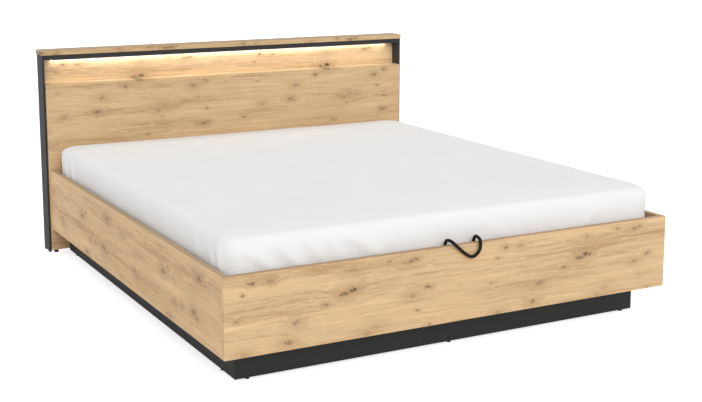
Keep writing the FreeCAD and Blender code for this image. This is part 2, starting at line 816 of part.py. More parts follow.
def cord_tube(points, diameter):
    """A cord of straight runs joined by tangent arcs."""
    edges = []
    radii = []
    here = points[0]
    for n in range(1, len(points) - 1):
        before, after = points[n - 1] - points[n], points[n + 1] - points[n]
        reach = min(before.Length, after.Length) * arc_share
        u = V(before).normalize()
        w = V(after).normalize()
        half_turn = (math.pi - u.getAngle(w)) / 2
        radii.append(reach / math.tan(half_turn))
        start, stop = points[n] + u * reach, points[n] + w * reach
        to_centre = (u + w).normalize()
        centre = points[n] + to_centre * (radii[-1] / math.cos(half_turn))
        middle = centre - to_centre * radii[-1]
        edges.append(Part.LineSegment(here, start).toShape())
        edges.append(Part.Arc(start, middle, stop).toShape())
        here = stop
    edges.append(Part.LineSegment(here, points[-1]).toShape())
    path = Part.Wire(edges)
    ring = Part.Wire(Part.makeCircle(diameter / 2, points[0], points[1] - points[0]))
    tube = path.makePipeShell([ring], True, False)
    print("pull loop: length", round(path.Length, 1), "radii", [round(r, 1) for r in radii])
    print("pull loop: volume over section times length",
          round(tube.Volume / (math.pi * diameter ** 2 / 4 * path.Length), 4))
    return tube


def pull_loop():
    """Cord loop that lifts the base, hung over the foot panel."""
    return cord_tube(cord_route, cord_diameter)


def all_pieces():
    """Every node of the bed by name."""
    rail = side_rail()
    right = {
        "side_rail": rail, "lift_plate": lift_plate(), "rear_arm": rear_arm(), "front_arm": front_arm(),
        "lift_bracket": lift_bracket(), "strut_cylinder": strut_cylinder(), "strut_rod": strut_rod(),
        "slats": slats(),
    }
    pieces = {}
    for name, shape in right.items():
        pieces[name + "_right"] = shape
        pieces[name + "_left"] = mirrored(shape)
    pieces.update(plinth_boards())
    pieces.update(storage_floor())
    pieces.update(headboard_boards())
    pieces.update(base_tubes())
    pieces.update({
        "foot_panel": foot_panel(),
        "plinth_glides": plinth_glides(),
        "floor_battens": floor_battens(),
        "headboard_glides": headboard_glides(),
        "led_profile": led_profile(),
        "led_diffuser": led_diffuser(),
        "led_driver": led_driver(),
        "corner_angles_foot": corner_angles(foot_inner_y, 1),
        "corner_angles_head": corner_angles(head_y, -1),
        "rest_batten": rest_batten(),
        "rest_buffers": rest_buffers(),
        "rest_blocks": rest_blocks(),
        "frame_studs": frame_studs(),
        "arm_studs": arm_studs(),
        "base_studs": base_studs(),
        "slat_holders": all_slat_holders(),
        "tube_plugs": tube_plugs(),
        "mattress": mattress(),
        "mattress_stops": mattress_stops(),
        "loop_anchors": loop_anchors(),
        "loop_ferrules": loop_ferrules(),
        "pull_loop": pull_loop(),
    })
    return pieces


def main():
    os.makedirs("parts", exist_ok=True)
    pieces = all_pieces()
    for name in sorted(pieces):
        pieces[name].exportStep("parts/" + name + ".step")
    print(len(pieces), "nodes")


main()
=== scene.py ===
import math

import bmesh
import bpy
from bpy.props import FloatProperty, FloatVectorProperty, IntProperty, PointerProperty
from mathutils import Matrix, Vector, noise


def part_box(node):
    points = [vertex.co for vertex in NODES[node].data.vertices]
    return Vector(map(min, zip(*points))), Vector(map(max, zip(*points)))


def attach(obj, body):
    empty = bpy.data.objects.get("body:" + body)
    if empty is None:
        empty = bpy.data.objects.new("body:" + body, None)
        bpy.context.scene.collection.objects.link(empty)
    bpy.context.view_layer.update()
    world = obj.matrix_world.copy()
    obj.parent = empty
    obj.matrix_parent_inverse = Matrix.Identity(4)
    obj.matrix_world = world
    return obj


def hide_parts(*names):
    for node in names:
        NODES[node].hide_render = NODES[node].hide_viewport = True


bl_info = {
    "name": "Storage Bed",
    "version": (1, 0, 0),
    "blender": (4, 5, 0),
    "location": "3D View > Sidebar > Bed",
    "description": "Dresses a storage bed with a lifting slatted base",
    "category": "Add Mesh",
}

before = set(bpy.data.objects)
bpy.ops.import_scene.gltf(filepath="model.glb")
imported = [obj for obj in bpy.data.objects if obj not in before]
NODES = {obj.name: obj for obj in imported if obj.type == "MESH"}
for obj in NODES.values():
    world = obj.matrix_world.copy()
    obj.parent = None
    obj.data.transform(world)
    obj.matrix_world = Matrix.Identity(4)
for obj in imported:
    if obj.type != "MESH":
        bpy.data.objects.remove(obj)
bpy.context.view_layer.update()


def rgb(text):
    """The linear colour of an sRGB hex value."""
    parts = [int(text[k:k + 2], 16) / 255 for k in (1, 3, 5)]
    return [p / 12.92 if p <= 0.04045 else ((p + 0.055) / 1.055) ** 2.4 for p in parts]


def rgba(text):
    """The same with full opacity."""
    return [*rgb(text), 1.0]


def toned(colour, *factors):
    """A linear colour times one factor, or times one for each channel, as RGBA."""
    if len(factors) == 1:
        factors *= 3
    return [*(min(1.0, v * k) for v, k in zip(colour, factors)), 1.0]


# Sizes and colours that a user may change

class BedSizes(bpy.types.PropertyGroup):
    board_edge: FloatProperty(
        name="Board edge", description="Rounding of a board's edges", default=0.0009, unit="LENGTH")
    cord_diameter: FloatProperty(
        name="Cord diameter", description="Thickness of the pull loop", default=0.012, unit="LENGTH")
    cord_length: FloatProperty(
        name="Cord length", description="Length of the pull loop", default=0.5276, unit="LENGTH")
    mattress_voxel: FloatProperty(
        name="Mattress voxel", description="Mesh size of the padded form", default=0.020, unit="LENGTH")
    mattress_swell: FloatProperty(
        name="Mattress swell", description="Furthest that the cover may move", default=0.007, unit="LENGTH")
    sim_frames: IntProperty(
        name="Cloth frames", description="Steps of the cloth simulation", default=20)


class BedColours(bpy.types.PropertyGroup):
    oak: FloatVectorProperty(
        name="Oak", description="Main tone of the oak laminate", subtype="COLOR",
        default=rgb("#D9B88C"), min=0, max=1)
    oak_dark: FloatVectorProperty(
        name="Oak streaks", description="Tone of the darker growth lines", subtype="COLOR",
        default=rgb("#BC9870"), min=0, max=1)
    anthracite: FloatVectorProperty(
        name="Anthracite", description="Tone of the dark laminate", subtype="COLOR",
        default=rgb("#2D2E2E"), min=0, max=1)
    cover: FloatVectorProperty(
        name="Mattress cover", description="Tone of the mattress cover", subtype="COLOR",
        default=rgb("#F4F4F4"), min=0, max=1)
    light: FloatVectorProperty(
        name="Recess light", description="Tone of the light strip", subtype="COLOR",
        default=rgb("#FFFBF2"), min=0, max=1)


# Node trees

def give(tree, node, inputs):
    """Sets a node's inputs, each to a value or to a link from a socket or a node's first output in use."""
    for name, value in inputs.items():
        if isinstance(value, bpy.types.Node):
            value = next(socket for socket in value.outputs if socket.enabled)
        if isinstance(value, bpy.types.NodeSocket):
            tree.links.new(value, node.inputs[name])
        else:
            node.inputs[name].default_value = value
    return node


def add(tree, kind, inputs=None, stops=(), **settings):
    """Adds a node with its settings, its inputs, and a ramp's stops: a place with a grey or an RGBA."""
    node = tree.nodes.new(kind)
    for name, value in settings.items():
        setattr(node, name, value)
    if stops:
        bar = node.color_ramp.elements
        while len(bar) < len(stops):
            bar.new(0.5)
        for spot, (place, value) in zip(bar, stops):
            spot.position = place
            spot.color = value if isinstance(value, (list, tuple)) else (value, value, value, 1)
    return give(tree, node, inputs or {})


def total(tree, *shares):
    """The sum of patterns, each times its weight."""
    level = 0.0
    for pattern, weight in shares:
        level = add(tree, "ShaderNodeMath", {0: pattern, 1: weight, 2: level}, operation="MULTIPLY_ADD")
    return level


def new_material(name):
    """A material with a Principled shader; gives the material, its tree and the shader."""
    made = bpy.data.materials.new(name)
    made.use_nodes = True
    tree = made.node_tree
    return made, tree, tree.nodes["Principled BSDF"]


def object_coords(tree, turn=(0, 0, 0), shift=(0, 0, 0)):
    """Object coordinates in metres, turned and moved."""
    place = add(tree, "ShaderNodeTexCoord").outputs["Object"]
    return add(tree, "ShaderNodeMapping", {"Vector": place, "Location": shift, "Rotation": turn})


def colours():
    return bpy.context.scene.bed_colours


def sizes():
    return bpy.context.scene.bed_sizes


QUARTER = math.pi / 2


# Knots of the printed oak, which repeats every metre: along and across the grain, radius, darkness
BOARD_KNOTS = (
    (0.510, 0.278, 0.0095, 0.75), (0.528, 0.276, 0.0060, 0.60), (0.548, 0.2875, 0.0085, 1.00),
    (0.441, 0.250, 0.0050, 0.70), (0.171, 0.360, 0.0055, 0.85), (0.240, 0.356, 0.0070, 0.40),
    (0.138, 0.3225, 0.0028, 0.80), (0.770, 0.360, 0.0080, 0.60), (0.795, 0.364, 0.0065, 0.70),
    (0.690, 0.3675, 0.0050, 0.45), (0.546, 0.354, 0.0090, 0.25), (0.842, 0.255, 0.0055, 0.75),
    (0.781, 0.232, 0.0090, 0.45), (0.802, 0.176, 0.0028, 0.80), (0.328, 0.2025, 0.0085, 0.50),
    (0.117, 0.234, 0.0030, 0.55), (0.301, 0.137, 0.0085, 0.60), (0.143, 0.120, 0.0080, 0.35),
    (0.635, 0.145, 0.0100, 0.25), (0.600, 0.126, 0.0090, 0.30), (0.849, 0.1185, 0.0030, 0.80),
    (0.622, 0.095, 0.0028, 0.60), (0.832, 0.047, 0.0080, 0.70), (0.856, 0.054, 0.0050, 0.70),
    (0.544, 0.0135, 0.0032, 0.90), (0.045, 0.062, 0.0070, 0.40),
)
RAIL_KNOTS = (
    (0.516, 0.278, 0.0100, 0.70), (0.568, 0.2995, 0.0030, 0.80), (0.865, 0.3355, 0.0105, 0.60),
    (0.812, 0.204, 0.0110, 0.65), (0.840, 0.190, 0.0090, 0.50), (0.628, 0.191, 0.0080, 0.35),
    (0.700, 0.196, 0.0090, 0.25), (0.195, 0.2005, 0.0070, 0.60), (0.222, 0.180, 0.0110, 0.30),
    (0.577, 0.127, 0.0070, 0.75), (0.550, 0.130, 0.0060, 0.40), (0.330, 0.330, 0.0040, 0.30),
    (0.060, 0.300, 0.0070, 0.25),
)


# A knot is longer along the grain. Its heart and the darker wood round it fade between these radii
KNOT_STRETCH = 2.0
HEART_FADE = (0.45, 1.25)
RING_FADE = (0.6, 4.6)
# The darker wood round any knot, and how much darker it is round a fully dark one
RING_DARKNESS = (0.3, 0.6)
KNOT_BROWN = "#5E4331"
# How far a knot's outline wanders along and across the grain, in metres
KNOT_WANDER = (0.040, 0.0, 0.020)
# How far the growth lines bend round a knot, and between knots
KNOT_BEND = 0.016
SLOW_BEND = 0.040
# Waves to the metre of a knot's ragged outline (14 mm), the crumbs in it (8 mm) and the slow bends (450 mm)
RAGGED_WAVES = 70.0
CRUMB_WAVES = 130.0
SLOW_WAVES = 2.2
# Noise that makes the print: waves to the metre along and across the grain, detail and roughness. Across
# the grain its bands are 62 mm wide, its growth lines 12 and 4 mm, its flecks 7 mm and its thin lines 6 mm
GRAIN = {
    "broad": (1.2, 16.0, 3.0, 0.55),
    "middle": (3.0, 80.0, 3.0, 0.60),
    "fine": (14.0, 260.0, 2.0, 0.55),
    "fleck": (22.0, 150.0, 0.0, 0.55),
    "thin": (2.0, 170.0, 1.0, 0.55),
}
# How much the broad, the middle and the fine noise weigh in the tone
TONE_SHARES = (0.4485, 0.351, 0.195)


def knot_fields(tree, place, knots):
    """How far a point lies in a knot's heart, and in the darker wood round it."""
    fields = [0.0, 0.0]
    for along, across, radius, dark in knots:
        long_radius = radius * KNOT_STRETCH
        local = add(tree, "ShaderNodeMapping", {
            "Vector": place, "Location": (-along / long_radius, 0, -across / radius),
            "Scale": (1 / long_radius, 0, 1 / radius)})
        far = add(tree, "ShaderNodeVectorMath", {0: local}, operation="LENGTH")
        strengths = (dark, RING_DARKNESS[0] + RING_DARKNESS[1] * dark)
        for n, ((near, end), strength) in enumerate(zip((HEART_FADE, RING_FADE), strengths)):
            field = add(tree, "ShaderNodeMapRange", {
                "Value": far, "From Min": near, "From Max": end, "To Min": strength, "To Max": 0.0,
            }, interpolation_type="SMOOTHSTEP")
            fields[n] = add(tree, "ShaderNodeMath", {0: field, 1: fields[n]}, operation="MAXIMUM")
    return fields


def streaks(tree, lines, kind):
    """One of the print's noises, stretched along the grain."""
    along, across, detail, roughness = GRAIN[kind]
    laid = add(tree, "ShaderNodeMapping", {"Vector": lines, "Scale": (along, across, across)})
    return add(tree, "ShaderNodeTexNoise", {
        "Vector": laid, "Scale": 1.0, "Detail": detail, "Roughness": roughness})


def oak(name, knots, turn=(0, 0, 0), shift=(0, 0, 0), tone=(1, 1, 1)):
    """Melamine-faced board printed with knotty oak: matt, short growth lines, flecks and brown knots."""
    made, tree, shader = new_material(name)
    flat = object_coords(tree, turn, shift)
    parts = add(tree, "ShaderNodeSeparateXYZ", {"Vector": flat}).outputs
    # The print repeats every metre along the grain, and its knots are ragged
    repeated = add(tree, "ShaderNodeMath", {0: parts["X"]}, operation="FRACT")
    face = add(tree, "ShaderNodeCombineXYZ", {"X": repeated, "Z": parts["Z"]})
    ragged = add(tree, "ShaderNodeTexNoise", {
        "Vector": flat, "Scale": RAGGED_WAVES, "Detail": 2.0}).outputs["Color"]
    wander = add(tree, "ShaderNodeMapping", {
        "Vector": ragged, "Location": [-v / 2 for v in KNOT_WANDER], "Scale": KNOT_WANDER})
    place = add(tree, "ShaderNodeVectorMath", {0: face, 1: wander}, operation="ADD")
    heart, ring = knot_fields(tree, place, knots)

    slow = add(tree, "ShaderNodeTexNoise", {"Vector": flat, "Scale": SLOW_WAVES, "Detail": 1.0})
    bend = total(tree, (ring, KNOT_BEND), (slow, SLOW_BEND))
    lines = add(tree, "ShaderNodeCombineXYZ", {
        "X": parts["X"],
        "Y": add(tree, "ShaderNodeMath", {0: parts["Y"], 1: bend}, operation="ADD"),
        "Z": add(tree, "ShaderNodeMath", {0: parts["Z"], 1: bend}, operation="ADD")})
    broad, middle, fine, fleck, thin = (streaks(tree, lines, kind) for kind in GRAIN)

    chosen = colours()
    # tone scales the print: below one on the headboard and the cap it paints shade, above one on the recess
    # it paints light
    base, dark = toned(chosen.oak, *tone), toned(chosen.oak_dark, *tone)
    pale, worn = toned(base, 1.16), toned(dark, 0.84)
    level = total(tree, *zip((broad, middle, fine), TONE_SHARES))
    tint = add(tree, "ShaderNodeValToRGB", {"Fac": level},
               stops=((0.38, dark), (0.49, base), (0.53, base), (0.61, pale)))
    lined = add(tree, "ShaderNodeValToRGB", {"Fac": thin}, stops=((0.60, 0.0), (0.72, 0.5)))
    flecked = add(tree, "ShaderNodeValToRGB", {"Fac": fleck}, stops=((0.68, 0.0), (0.76, 0.55)))
    streaky = add(tree, "ShaderNodeMath", {0: middle, 1: 1.25}, operation="MULTIPLY")
    clouded = add(tree, "ShaderNodeMath", {0: ring, 1: streaky}, operation="MULTIPLY")
    crumbs = add(tree, "ShaderNodeTexNoise", {"Vector": flat, "Scale": CRUMB_WAVES, "Detail": 1.0})
    crumbled = add(tree, "ShaderNodeValToRGB", {"Fac": crumbs}, stops=((0.36, 0.30), (0.56, 1.0)))
    knotted = add(tree, "ShaderNodeMath", {0: heart, 1: crumbled}, operation="MULTIPLY")
    for share, over in ((lined, dark), (flecked, pale), (clouded, worn), (knotted, rgba(KNOT_BROWN))):
        tint = add(tree, "ShaderNodeMix", {0: share, 6: tint, 7: over}, data_type="RGBA")
    give(tree, shader, {
        "Base Color": tint,
        "Roughness": add(tree, "ShaderNodeMapRange", {"Value": middle, "To Min": 0.46, "To Max": 0.62}),
        "Specular IOR Level": 0.35,
        "Normal": add(tree, "ShaderNodeBump", {"Height": fine, "Strength": 0.12, "Distance": 0.0003})})
    return made


def two_tones(tree, pattern, tones, rough):
    """Two tones, and a span of roughness, over a pattern."""
    stops = zip((0.35, 0.65), [rgba(tone) if isinstance(tone, str) else tone for tone in tones])
    return {
        "Base Color": add(tree, "ShaderNodeValToRGB", {"Fac": pattern}, stops=list(stops)),
        "Roughness": add(tree, "ShaderNodeMapRange", {
            "Value": pattern, "To Min": rough[0], "To Max": rough[1]})}


def grained(name, tones, turn=(0, 0, 0), rough=(0.5, 0.65), waves=(2.0, 80.0, 80.0)):
    """Plain timber or fibre board: two tones in lines along the grain; waves to the metre on each axis."""
    made, tree, shader = new_material(name)
    laid = add(tree, "ShaderNodeMapping", {"Vector": object_coords(tree, turn), "Scale": waves})
    lines = add(tree, "ShaderNodeTexNoise", {"Vector": laid, "Scale": 1.0, "Detail": 5.0})
    give(tree, shader, {
        **two_tones(tree, lines, tones, rough),
        "Normal": add(tree, "ShaderNodeBump", {"Height": lines, "Strength": 0.15, "Distance": 0.0004})})
    return made


# A speckled finish also has clouds, this many specks wide
CLOUD_SPECKS = 60


def speckled(name, tones, rough, metallic=0.0, specks=900.0, relief=0.1, ior=1.5):
    """Moulded, coated or plated surface: fine specks in colour, gloss and height, so many to the metre.

    The real specks are about a tenth of a millimetre. These are coarser, so that a close view shows them.
    """
    made, tree, shader = new_material(name)
    place = object_coords(tree)
    fine = add(tree, "ShaderNodeTexNoise", {"Vector": place, "Scale": specks, "Detail": 2.0})
    broad = add(tree, "ShaderNodeTexNoise", {
        "Vector": place, "Scale": specks / CLOUD_SPECKS, "Detail": 3.0})
    give(tree, shader, {
        **two_tones(tree, total(tree, (fine, 0.5), (broad, 0.5)), tones, rough),
        "Metallic": metallic, "IOR": ior,
        "Normal": add(tree, "ShaderNodeBump", {"Height": fine, "Strength": relief, "Distance": 0.0002})})
    return made


def cover_cloth():
    """Knitted polyester cover: matt white with a fine rib and a soft sheen at grazing angles."""
    made, tree, shader = new_material("knitted_mattress_cover")
    place = object_coords(tree)
    # Ribs 1.6 mm and stitches 3 mm apart, coarser than the real knit so that a close view holds them
    rib = add(tree, "ShaderNodeTexWave", {
        "Vector": place, "Scale": 200.0, "Distortion": 1.5, "Detail": 1.0,
    }, bands_direction="X").outputs["Fac"]
    stitch = add(tree, "ShaderNodeTexNoise", {"Vector": place, "Scale": 320.0, "Detail": 2.0})
    # Clouds 200 mm wide, where the cloth is a little fuller
    cloud = add(tree, "ShaderNodeTexNoise", {"Vector": place, "Scale": 5.0, "Detail": 3.0})
    tint = toned(colours().cover, 1.0)
    shade = toned(tint, 0.965)
    clouded = add(tree, "ShaderNodeValToRGB", {"Fac": cloud}, stops=((0.35, 0.0), (0.7, 0.35)))
    ribbed = add(tree, "ShaderNodeMath", {0: rib, 1: 0.12}, operation="MULTIPLY")
    for share in (clouded, ribbed):
        tint = add(tree, "ShaderNodeMix", {0: share, 6: tint, 7: shade}, data_type="RGBA")
    knit = total(tree, (rib, 0.5), (stitch, 0.5))
    give(tree, shader, {
        "Base Color": tint, "Roughness": 0.9, "Sheen Weight": 0.15, "Sheen Roughness": 0.5,
        "Specular IOR Level": 0.2,
        "Normal": add(tree, "ShaderNodeBump", {"Height": knit, "Strength": 0.12, "Distance": 0.0005})})
    return made


def braided_cord():
    """Braided polyester cord: black, with bundles that cross along it."""
    made, tree, shader = new_material("braided_polyester_cord")
    place = object_coords(tree)
    # A bundle every 7 mm, with a fuzz of 1.1 mm
    bundles = add(tree, "ShaderNodeTexWave", {
        "Vector": place, "Scale": 90.0, "Distortion": 0.6}, bands_direction="DIAGONAL").outputs["Fac"]
    fuzz = add(tree, "ShaderNodeTexNoise", {"Vector": place, "Scale": 900.0, "Detail": 2.0})
    laid = add(tree, "ShaderNodeValToRGB", {"Fac": bundles},
               stops=((0.2, rgba("#080706")), (0.9, rgba("#1C1815"))))
    fuzzy = add(tree, "ShaderNodeMath", {0: fuzz, 1: 0.4}, operation="MULTIPLY")
    give(tree, shader, {
        "Base Color": add(tree, "ShaderNodeMix", {0: fuzzy, 6: laid, 7: rgba("#100E0D")}, data_type="RGBA"),
        "Roughness": 0.8, "Sheen Weight": 0.03, "Specular IOR Level": 0.25,
        "Normal": add(tree, "ShaderNodeBump", {"Height": bundles, "Strength": 0.5, "Distance": 0.0006})})
    return made


def opal_light():
    """Opal diffuser lit from behind: warm and even, a little weaker between the diodes."""
    made, tree, shader = new_material("lit_opal_diffuser")
    # Diodes are 10 mm apart
    dots = add(tree, "ShaderNodeTexWave", {"Vector": object_coords(tree), "Scale": 30.0},
               bands_direction="X").outputs["Fac"]
    weaker = add(tree, "ShaderNodeMath", {0: dots, 1: 0.08}, operation="MULTIPLY")
    glow = toned(colours().light, 1.0)
    give(tree, shader, {
        "Emission Color": add(tree, "ShaderNodeMix", {
            0: weaker, 6: glow, 7: rgba("#FFF1D8")}, data_type="RGBA"),
        "Emission Strength": 9.5, "Base Color": rgba("#F4EEDC"), "Roughness": 0.5})
    return made


def studio_floor():
    """Matt white studio floor that the camera sees a little brighter than it lights."""
    made, tree, shader = new_material("white_studio_floor")
    # Not inside the plinth, where the floor lies in the dark
    place = add(tree, "ShaderNodeSeparateXYZ", {"Vector": object_coords(tree)}).outputs
    outside = 0.0
    for axis, half in zip("XY", PLINTH_HALF):
        off = add(tree, "ShaderNodeMath", {0: place[axis]}, operation="ABSOLUTE")
        beyond = add(tree, "ShaderNodeMath", {0: off, 1: half}, operation="GREATER_THAN")
        outside = add(tree, "ShaderNodeMath", {0: beyond, 1: outside}, operation="MAXIMUM")
    seen = add(tree, "ShaderNodeLightPath").outputs["Is Camera Ray"]
    lift = add(tree, "ShaderNodeMath", {0: seen, 1: FLOOR_LIFT}, operation="MULTIPLY")
    give(tree, shader, {
        "Base Color": rgba("#F4F4F4"), "Roughness": 0.95, "Specular IOR Level": 0.0,
        "Emission Color": rgba("#FFFFFF"),
        "Emission Strength": add(tree, "ShaderNodeMath", {0: lift, 1: outside}, operation="MULTIPLY")})
    return made


# Mesh helpers

def link_object(name, data):
    made = bpy.data.objects.new(name, data)
    bpy.context.scene.collection.objects.link(made)
    return made


def finish_piece(obj, body, material, slot, *replaced):
    """Gives a piece its material and its body, and hides the nodes it stands for. The slot is not used."""
    if material is not None:
        obj.data.materials.clear()
        obj.data.materials.append(material)
    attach(obj, body)
    if replaced:
        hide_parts(*replaced)
    return obj


def dress(material, *names):
    """Puts a material on CAD nodes that keep their own shape."""
    for name in names:
        data = NODES[name].data
        data.materials.clear()
        data.materials.append(material)


def cad_copy(node, name):
    """A free copy of a CAD node's mesh with its doubled points merged."""
    mesh = NODES[node].data.copy()
    bm = bmesh.new()
    bm.from_mesh(mesh)
    bmesh.ops.remove_doubles(bm, verts=bm.verts, dist=1e-6)
    bm.to_mesh(mesh)
    bm.free()
    return link_object(name, mesh)


# A face looks one way where its normal's share that way is over this
FACING = 0.9


def board(node, material, slot, edge=None):
    """A board with eased edges in place of a CAD box; its top, and a rail's inner face, may get painted
    shade.
    """
    lo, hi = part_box(node)
    bm = bmesh.new()
    bmesh.ops.create_cube(bm, size=1.0)
    for v in bm.verts:
        v.co = Vector([lo[k] + (v.co[k] + 0.5) * (hi[k] - lo[k]) for k in range(3)])
    bmesh.ops.bevel(bm, geom=list(bm.edges), offset=sizes().board_edge, segments=2, profile=0.5,
                    affect="EDGES")
    mesh = bpy.data.meshes.new(node + "_board")
    bm.to_mesh(mesh)
    bm.free()
    obj = link_object(node + "_board", mesh)
    finish_piece(obj, "frame", material, slot, node)
    # Painted shade: the top faces, and a rail's inner face, take the second, darker material
    if edge is not None:
        mesh.materials.append(edge)
        inward = -(lo.x + hi.x)
        for face in mesh.polygons:
            if face.normal.z > FACING or face.normal.x * inward > FACING:
                face.material_index = 1
    return obj


# Stage

PHOTO_WIDTH = 702
CAMERA_FOCAL = 1261.2
CAMERA_PLACE = (-2.431, -4.707, 1.507)
CAMERA_AZIMUTH = 28.18
CAMERA_PITCH = 9.89
CAMERA_SHIFT = (0.0085, -0.08)
# The studio lights the bed with this share of the white that the camera sees
SKY_LIGHT = 0.74
SUN_ENERGY = 0.95
SUN_SPREAD = 30
SUN_TOWARDS = (0.16, 0.80, -0.46)
FLOOR_REACH = 60.0
FLOOR_LIFT = 0.62
# Half the plinth's width and length, to the middle of its boards
PLINTH_HALF = (0.83, 0.95)


class BED_OT_stage(bpy.types.Operator):
    """Makes the camera, the floor and the studio light"""
    bl_idname = "bed.stage"
    bl_label = "Stage"

    def execute(self, context):
        scene = context.scene
        data = bpy.data.cameras.new("photo_camera")
        data.sensor_width = 36.0
        data.lens = CAMERA_FOCAL * data.sensor_width / PHOTO_WIDTH
        data.shift_x, data.shift_y = CAMERA_SHIFT
        data.clip_start = 0.05
        data.clip_end = 200.0
        camera = link_object("photo_camera", data)
        camera.location = CAMERA_PLACE
        camera.rotation_euler = (QUARTER - math.radians(CAMERA_PITCH), 0, -math.radians(CAMERA_AZIMUTH))
        scene.camera = camera
        scene.view_settings.view_transform = "Standard"

        mesh = bpy.data.meshes.new("floor")
        corners = ((-1, -1), (1, -1), (1, 1), (-1, 1))
        mesh.from_pydata([(x * FLOOR_REACH, y * FLOOR_REACH, 0) for x, y in corners], [], [(0, 1, 2, 3)])
        floor = link_object("floor", mesh)
        floor.data.materials.append(studio_floor())

        world = bpy.data.worlds.new("studio")
        scene.world = world
        world.use_nodes = True
        tree = world.node_tree
        path = add(tree, "ShaderNodeLightPath").outputs
        seen = 0.0
        for ray in ("Is Camera Ray", "Is Glossy Ray", "Is Transmission Ray"):
            seen = add(tree, "ShaderNodeMath", {0: path[ray], 1: seen}, operation="MAXIMUM")
        give(tree, tree.nodes["Background"], {
            "Color": rgba("#FFFFFF"),
            "Strength": add(tree, "ShaderNodeMapRange", {"Value": seen, "To Min": SKY_LIGHT, "To Max": 1.0})})

        sun = bpy.data.lights.new("key", "SUN")
        sun.energy = SUN_ENERGY
        sun.angle = math.radians(SUN_SPREAD)
        key = link_object("key", sun)
        key.rotation_mode = "QUATERNION"
        key.rotation_quaternion = Vector(SUN_TOWARDS).to_track_quat("-Z", "Y")
        return {"FINISHED"}


# Pull loop

# The cord's route in metres: up behind the foot panel, over its edge, and back
LOOP_ROUTE = [
    (-0.071, -1.0295, 0.276), (-0.071, -1.0295, 0.290), (-0.0705, -1.0465, 0.330), (-0.068, -1.0455, 0.4095),
    (-0.066, -1.0865, 0.412), (-0.044, -1.0885, 0.390), (-0.010, -1.088, 0.360), (0.022, -1.0885, 0.341),
    (0.051, -1.088, 0.360), (0.057, -1.0885, 0.386), (0.051, -1.087, 0.4115), (0.053, -1.0455, 0.4115),
    (0.0535, -1.0465, 0.330), (0.054, -1.0295, 0.290), (0.054, -1.0295, 0.276),
]


class BED_OT_pull_loop(bpy.types.Operator):
    """Lays the braided loop that lifts the base"""
    bl_idname = "bed.pull_loop"
    bl_label = "Pull loop"

    def execute(self, context):
        data = bpy.data.curves.new("loop_cord", "CURVE")
        data.dimensions = "3D"
        data.resolution_u = 16
        data.bevel_depth = sizes().cord_diameter / 2
        data.bevel_resolution = 5
        data.use_fill_caps = True
        line = data.splines.new("NURBS")
        line.points.add(len(LOOP_ROUTE) - 1)
        for point, place in zip(line.points, LOOP_ROUTE):
            point.co = (*place, 1.0)
        line.order_u = 3
        line.use_endpoint_u = True
        cord = link_object("loop_cord", data)
        finish_piece(cord, "base", braided_cord(), "black_cord", "pull_loop")
        return {"FINISHED"}


# Mattress

# How far the padded form starts inside the solid, and ends inside its sides
REMESH_SLACK = 0.003
SIDE_SLACK = 0.003
# How far the folds may pass the solid's sides and its foot end, clear of the boards
SIDE_ROOM = 0.005
FOOT_ROOM = 0.009
# How far the filling pushes out the upper edge, most at 45 degrees
EDGE_FULLNESS = 0.006
# Unevenness all over: waves to the metre, height
UNEVENNESS = ((3.1, 0.0016), (9.0, 0.0007))
# A side's folds show where the normal's share that way is over this
SIDEWAYS = 0.3
# A fold keeps its height over this much of its length to either side, then fades over the second share
FOLD_FULL = 0.35
FOLD_FADE = 0.28
# Soft folds on the foot end: (x, z) of both ends, width and height in metres
FOOT_FOLDS = (
    ((-0.820, 0.458), (-0.735, 0.385), 0.019, 0.0090), ((-0.720, 0.478), (-0.635, 0.385), 0.021, 0.0115),
    ((-0.620, 0.485), (-0.555, 0.400), 0.019, 0.0080), ((-0.530, 0.470), (-0.470, 0.385), 0.019, 0.0065),
    ((-0.460, 0.482), (-0.325, 0.385), 0.025, 0.0095), ((-0.370, 0.476), (-0.285, 0.420), 0.019, 0.0045),
    ((0.100, 0.470), (0.180, 0.400), 0.026, 0.0040), ((0.620, 0.440), (0.560, 0.385), 0.024, 0.0040),
)
# The same on the left side: (y, z)
SIDE_FOLDS = (
    ((-0.955, 0.470), (-0.972, 0.385), 0.016, 0.0080), ((-0.880, 0.440), (-0.905, 0.380), 0.016, 0.0050),
    ((-0.748, 0.470), (-0.762, 0.390), 0.022, 0.0035), ((-0.452, 0.475), (-0.478, 0.390), 0.026, 0.0020),
    ((0.740, 0.450), (0.722, 0.375), 0.018, 0.0060), ((0.830, 0.430), (0.805, 0.370), 0.016, 0.0060),
)


def fold_height(u, v, folds):
    """How far soft folds lift a point of a face."""
    lift = 0.0
    for (u0, v0), (u1, v1), width, height in folds:
        along = Vector((u1 - u0, v1 - v0))
        reach = along.length
        along.normalize()
        t = ((u - u0) * along.x + (v - v0) * along.y) / reach
        off = (u - u0) * along.y - (v - v0) * along.x
        end = max(0.0, abs(t - 0.5) - FOLD_FULL)
        lift += height * math.exp(-(off / width) ** 2) * math.exp(-(end / FOLD_FADE) ** 2)
    return lift


